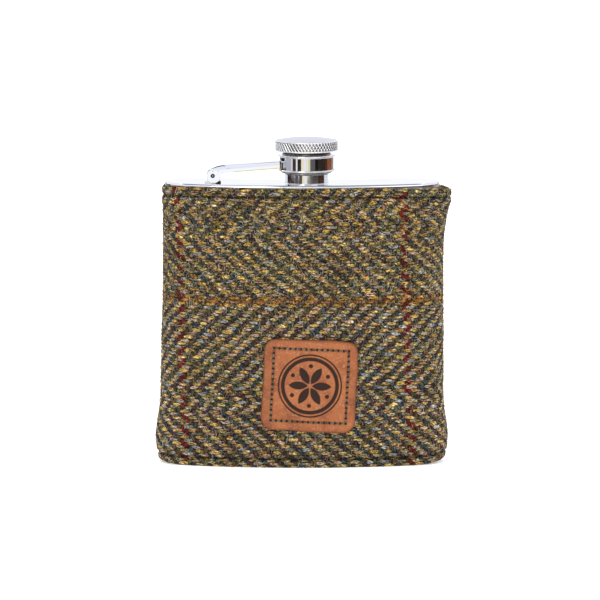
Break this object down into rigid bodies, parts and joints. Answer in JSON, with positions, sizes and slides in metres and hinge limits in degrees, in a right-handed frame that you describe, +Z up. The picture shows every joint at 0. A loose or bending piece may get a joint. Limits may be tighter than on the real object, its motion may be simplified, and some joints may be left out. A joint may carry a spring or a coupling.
{
  "type": "hip flask",
  "caption": "Curved steel hip flask in a sewn tweed sleeve with a square leather patch, and a knurled screw cap held by a hinged arm.",
  "frame": {"origin": "middle of the flask's footprint, on the plane of the base plate's underside", "axes": "+X to the right seen from the front, +Y to the back, +Z up along the neck; the convex front with the patch faces -Y"},
  "size_m": [0.095, 0.0327, 0.1102],
  "materials": {
    "polished_steel": "mirror polished",
    "satin_steel": "satin, fine turned marks",
    "tweed": "2/2 twill wool tweed",
    "leather": "grained, slightly waxed",
    "thread": "waxed thread",
    "gasket": "matte"
  },
  "bodies": {
    "flask": {"body_shell": "satin_steel", "top_plate": "polished_steel", "base_plate": "satin_steel", "neck_tube": "polished_steel", "hinge_knuckle": "satin_steel", "tweed_front": "tweed", "tweed_back": "tweed", "seam_thread_left": "thread", "seam_thread_right": "thread", "top_hem_thread": "thread", "bottom_hem_thread": "thread", "leather_patch": "leather", "patch_thread": "thread"},
    "pin": {"hinge_pin": "satin_steel"},
    "arm": {"captive_arm": "polished_steel", "cap_ring": "polished_steel"},
    "cap": {"cap_shell": "satin_steel", "cap_insert": "satin_steel", "cap_gasket": "gasket"}
  },
  "joints": [
    {"name": "arm_rise", "type": "hinge", "parent": "flask", "child": "pin", "pos_m": [-0.0299, -0.00234, 0.0973], "axis": [0, -1, 0], "range_deg": [0, 4.99]},
    {"name": "arm_swing", "type": "hinge", "parent": "pin", "child": "arm", "pos_m": [-0.0299, -0.00234, 0.0973], "axis": [0, -1, 0], "range_deg": [0, 150]},
    {"name": "cap_turn", "type": "hinge", "parent": "arm", "child": "cap", "pos_m": [0.0015, -0.00234, 0.1014], "axis": [0, 0, 1], "range_deg": [0, 900]}
  ],
  "couplings": [
    {"joint": "cap_turn", "follows": "arm_rise", "ratio": 180}
  ]
}
